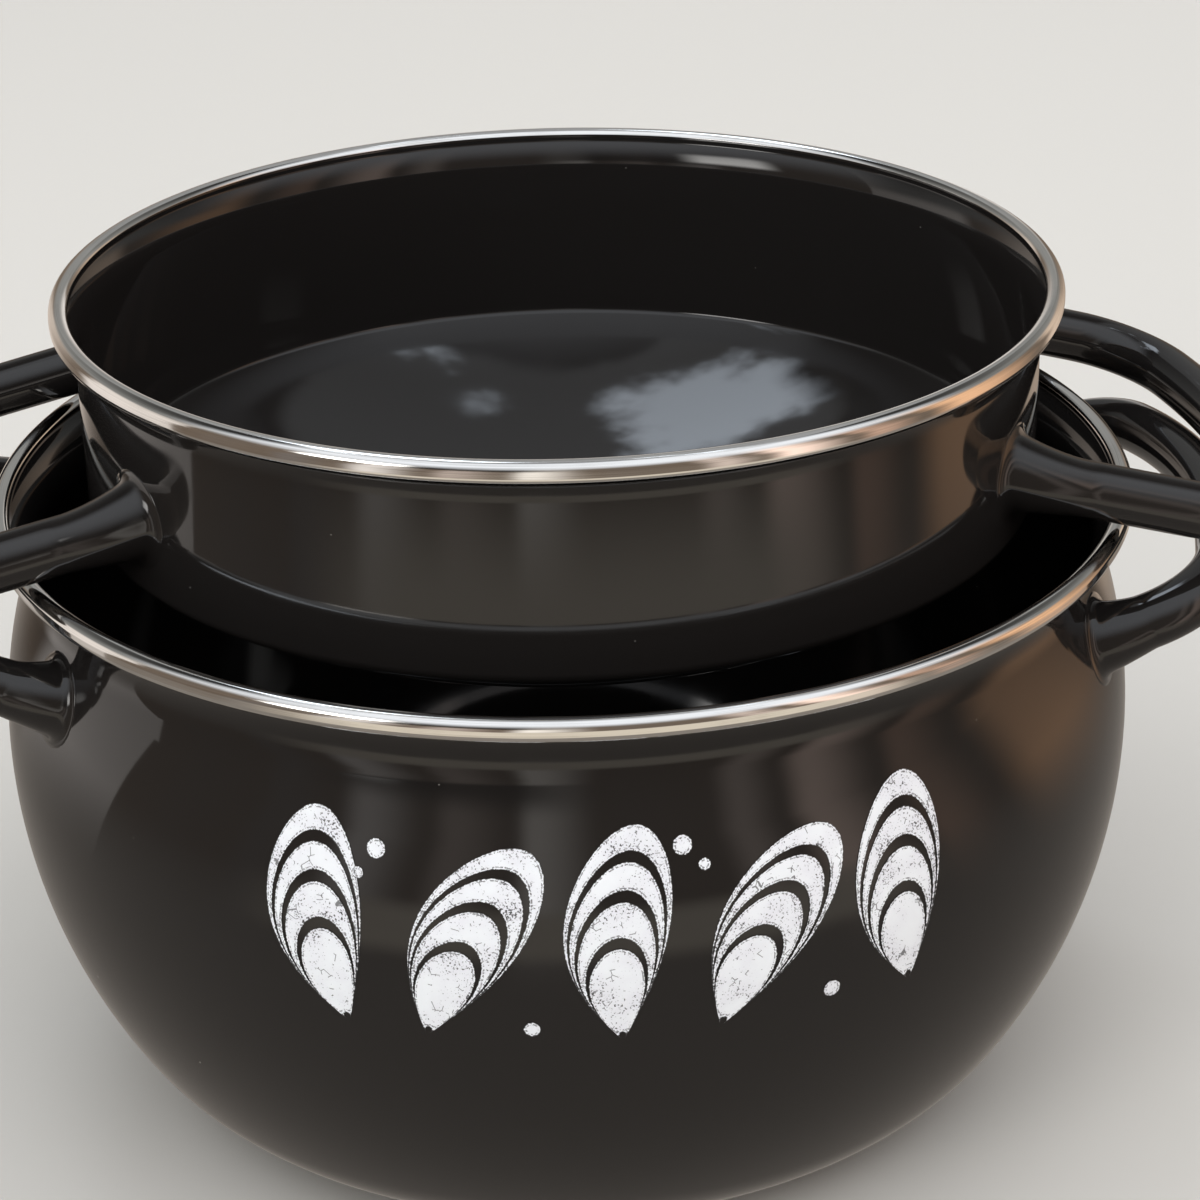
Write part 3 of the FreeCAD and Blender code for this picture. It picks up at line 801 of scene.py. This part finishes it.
# A soft room for the enamel and the steel to mirror
# Heights, x and y are parts of a direction of length 1, and two of them tell where
# something begins and where it is full
room = {
    "backdrop": (0.86, 0.86, 0.86),         # seen past the floor
    "wallShade": (0.20, 0.155, 0.12),       # between the bands of light
    "ceiling": (1.14, 1.19, 1.27),          # high up in front
    "ceilingHeight": (0.26, 0.82),
    "backTone": (0.30, 0.30, 0.29),         # middle heights behind the pot
    "backHeight": (0.14, 0.34),
    "backSide": (-0.2, 0.2),                # y
    "dimPatch": (-118, 34),                 # behind the camera: direction and half width, degrees
    "dimHeight": (0.09, 0.20),
    "dimDepth": 0.85,                       # how far it is darkened
    "window": (-140, 15),                   # low window: direction and half width, degrees
    "windowHeight": (0.16, 0.28, 0.44, 0.56),
    "windowLight": (7.0, 6.86, 6.65),
    "softSide": 0.4,                        # share of a half width over which it is full
    "sky": (0.42, 0.43, 0.44),              # high up behind the pot, with clouds
    "skySide": (-0.12, 0.34),               # y
    "cloud": (3.8, 4.2, 4.7),
    "cloudScale": 4.2,
    "cloudShift": (0.62, 0.2, 0.0),
    "cloudCover": (0.58, 0.74),             # values of the noise
    "cloudBank": (-0.22, 0.46, 0.86),       # where the clouds are thickest
    "bankReach": 0.34,
    "bankCover": 0.22,                      # added to the noise in the middle of the bank
    "zenith": (0.03, 0.03, 0.03),           # dark straight over the pot and at the sky's sides
    "zenithHeight": (0.958, 0.968),
    "zenithRagged": 0.15,                   # share of the ragged edge that it has
    "raggedEdge": 0.22,
    "darkRight": (0.35, 0.41),              # x
    "darkLeft": (0.28, 0.35),               # x to the left
    "darkLeftHeight": (0.88, 0.84),
    # soft upright bands of light round the room: direction and half width in degrees, colour
    "bands": (
        (-168, 7, (0.20, 0.16, 0.13)),
        (-150, 5, (0.22, 0.19, 0.17)),
        (-133, 6, (1.00, 0.93, 0.88)),
        (-116, 5, (0.60, 0.50, 0.44)),
        (-101, 4, (1.25, 1.17, 1.08)),
        (-84, 4, (0.20, 0.16, 0.13)),
        (-62, 6, (0.80, 0.66, 0.58)),
        (-48, 6, (1.50, 1.15, 0.98)),
        (-28, 5, (0.70, 0.46, 0.34)),
        (-3, 12, (1.10, 0.65, 0.38)),
        (40, 8, (0.80, 0.62, 0.48)),
        (75, 6, (0.95, 0.90, 0.86)),
        (115, 9, (0.70, 0.60, 0.52)),
        (150, 7, (1.00, 0.92, 0.86)),
    ),
}


def bandColour(graph, x, y):
    # a band rises over its half width and fades until the next one begins
    stops = [(0.0, room["wallShade"])]
    for direction, width, colour in room["bands"]:
        stops.append(((direction - width + 180) / 360, room["wallShade"]))
        stops.append(((direction + 180) / 360, colour))
    turn = (graph.maths("ARCTAN2", y, x) / math.pi + 1) / 2
    return graph.add("ShaderNodeValToRGB", {"spread": "EASE", "stops": stops}, {"Fac": turn}, "Color")


def makeSky(graph, way, x, z):
    # grey sky with a bank of ragged clouds
    moved = graph.add("ShaderNodeVectorMath", {"operation": "ADD"}, {0: way, 1: room["cloudShift"]})
    ragged = graph.noise(moved, room["cloudScale"], 7.0, 0.62)
    sockets = {0: way, 1: room["cloudBank"]}
    apart = graph.add("ShaderNodeVectorMath", {"operation": "DISTANCE"}, sockets, "Value")
    bank = graph.step(apart, room["bankReach"], 0.0, 0.0, room["bankCover"])
    sky = graph.blend(graph.step(ragged + bank, *room["cloudCover"]), room["sky"], room["cloud"])
    edge = (ragged - 0.5) * room["raggedEdge"]
    over = graph.step(z + edge * room["zenithRagged"], *room["zenithHeight"])
    right = graph.step(x + edge, *room["darkRight"])
    left = graph.step(edge - x, *room["darkLeft"]) * graph.step(z, *room["darkLeftHeight"])
    shade = graph.maths("MAXIMUM", graph.maths("MAXIMUM", over, right), left)
    return graph.blend(shade, sky, room["zenith"])


def makeRoom():
    world = bpy.data.worlds.new("softRoom")
    bpy.context.scene.world = world
    graph = Graph(world)
    way = graph.add("ShaderNodeTexCoord", {}, {}, "Generated")
    x, y, z = graph.parts(way)
    turn = graph.maths("ARCTAN2", y, x) * (180 / math.pi)

    def beside(direction, width):
        aside = graph.maths("ABSOLUTE", turn - direction)
        return graph.step(aside, width, width * room["softSide"])

    behind = graph.step(z, *room["backHeight"]) * graph.step(y, *room["backSide"])
    middle = graph.blend(behind, bandColour(graph, x, y), room["backTone"])
    dim = beside(*room["dimPatch"]) * graph.step(z, *room["dimHeight"])
    middle = graph.blend(dim * room["dimDepth"], middle, (0.0, 0.0, 0.0))
    window = beside(*room["window"]) * graph.stretch(z, *room["windowHeight"])
    middle = graph.blend(window, middle, room["windowLight"])
    high = graph.blend(graph.step(y, *room["skySide"]), room["ceiling"], makeSky(graph, way, x, z))
    walls = graph.blend(graph.step(z, *room["ceilingHeight"]), middle, high)
    seen = graph.add("ShaderNodeLightPath", {}, {}, "Is Camera Ray")
    colour = graph.blend(seen, walls, room["backdrop"])
    background = graph.add("ShaderNodeBackground", {}, {"Color": colour, "Strength": 1.0})
    graph.add("ShaderNodeOutputWorld", {}, {"Surface": background})


# A plain pale floor, in m. Glossy rays see a glow of painted light instead: painted shade near the pot,
# the room's bands painted farther out, and a painted lit stretch in front
ground = {
    "size": 8.0,
    "colour": (0.62, 0.60, 0.56),
    # painted shade: the floor near the pot as the gloss sees it, darker than the real floor
    "mirrored": (0.30, 0.27, 0.24),
    "paintedShadeEdge": (0.22, 0.50),           # where the room's bands, painted on the floor for the gloss, take over from the painted shade, from the axis
    # painted light: a lit stretch in front, as the gloss sees it
    "paintedLight": (0.86, 0.77, 0.64),
    "paintedLightRing": (0.27, 0.32, 0.40, 0.53),    # where the painted light comes, is full, wanes and is gone, from the axis
    "paintedLightFront": (-0.45, -0.85),             # y of the direction where the painted light comes and is full
}


def makeFloor():
    bpy.ops.mesh.primitive_plane_add(size=ground["size"], location=(0, 0, 0))
    floor = bpy.context.object
    floor.name = "floor"
    finish, graph = newFinish("paleFloor")
    x, y, z = graph.parts(graph.place())
    apart = graph.maths("SQRT", x * x + y * y)
    # to glossy rays the floor glows: painted shade near the pot, the room's bands painted farther out
    far = graph.step(apart, *ground["paintedShadeEdge"])
    mirrored = graph.blend(far, ground["mirrored"], bandColour(graph, x, y))
    # a painted pool of light in front, in the glow only
    ring = graph.stretch(apart, *ground["paintedLightRing"]) * graph.step(y / apart, *ground["paintedLightFront"])
    mirrored = graph.blend(ring, mirrored, ground["paintedLight"])
    matt = graph.add("ShaderNodeBsdfDiffuse", {}, {"Color": ground["colour"]})
    # the glow is painted light; camera and diffuse rays see the plain matt floor
    paintedGlow = graph.add("ShaderNodeEmission", {}, {"Color": mirrored, "Strength": 1.0})
    path = graph.add("ShaderNodeLightPath", {}, {}, "Is Glossy Ray")
    surface = graph.add("ShaderNodeMixShader", {}, {0: path, 1: matt, 2: paintedGlow})
    graph.add("ShaderNodeOutputMaterial", {}, {"Surface": surface})
    floor.data.materials.append(finish)


lamps = {
    # direction and height in degrees, distance and size in metres, power in watts
    "keyLamp": (-60, 52, 1.6, 2.3, 12.0),
    "fillLamp": (-150, 42, 1.6, 2.2, 7.0),
    "backLamp": (75, 55, 1.6, 2.0, 7.5),
}


def makeLamps():
    aim = Vector((0, 0, 0.1))   # in the pot
    for name, (direction, height, distance, size, power) in lamps.items():
        lamp = bpy.data.lights.new(name, "AREA")
        lamp.shape = "DISK"
        lamp.size = size
        lamp.energy = power
        turn, rise = math.radians(direction), math.radians(height)
        way = Vector((math.cos(turn) * math.cos(rise), math.sin(turn) * math.cos(rise), math.sin(rise)))
        holder = bpy.data.objects.new(name, lamp)
        holder.location = aim + way * distance
        holder.rotation_euler = way.to_track_quat("Z", "Y").to_euler()
        holder.visible_glossy = False           # the gloss mirrors the room instead
        bpy.context.scene.collection.objects.link(holder)


# The camera was fitted to the rims and the belly
view = {
    "direction": -94.0,         # of the camera from the pot, degrees
    "distance": 589.3,          # level distance to the pot's axis, mm
    "height": 381.9,            # over the floor, mm
    "aside": 0.729,             # aim to the right of the axis, degrees
    "down": 25.352,             # degrees
    "tip": -1.208,              # roll, degrees
    "focal": 2.5,               # focal length over the picture's width
}


def makeCamera():
    camera = bpy.data.cameras.new("camera")
    camera.sensor_width = 36.0
    camera.lens = view["focal"] * camera.sensor_width
    camera.clip_start, camera.clip_end = 0.05, 50
    holder = bpy.data.objects.new("camera", camera)
    bpy.context.scene.collection.objects.link(holder)
    aside, down, tip = (math.radians(view[name]) for name in ("aside", "down", "tip"))
    facing = Matrix.Rotation(math.radians(view["direction"] + 90), 3, "Z")
    level = math.cos(down)
    ahead = facing @ Vector((math.sin(aside) * level, math.cos(aside) * level, -math.sin(down)))
    right = facing @ Vector((math.cos(aside), -math.sin(aside), 0))
    up = right.cross(ahead)
    right, up = math.cos(tip) * right + math.sin(tip) * up, math.cos(tip) * up - math.sin(tip) * right
    place = facing @ Vector((0, -view["distance"] * millimetre, view["height"] * millimetre))
    holder.matrix_world = Matrix.Translation(place) @ Matrix((right, up, -ahead)).transposed().to_4x4()
    bpy.context.scene.camera = holder


makeCamera()
makeRoom()
makeFloor()
makeLamps()
bpy.context.scene.view_settings.view_transform = "Standard"
print("stage, lamps and camera are set")

blackEnamel = makeEnamel()
polishedSteel = makeSteel()
turned("potBody", potProfile(), False, blackEnamel, "pot_body")
turned("lidBody", lidProfile(), False, blackEnamel, "lid_body")
turned("potRim", trimProfile(pot), True, polishedSteel, "pot_rim")
turned("lidRim", trimProfile(lid), True, polishedSteel, "lid_rim")
print("the pot, the lid and their trims are turned")

makeHandles("pot", potHandle, shoulderAt(potHandle["height"]), blackEnamel)
makeHandles("lid", lidHandle, lid["wallRadius"], blackEnamel)
print("the handles are bent and welded on")

printFront()
print("the front is printed")
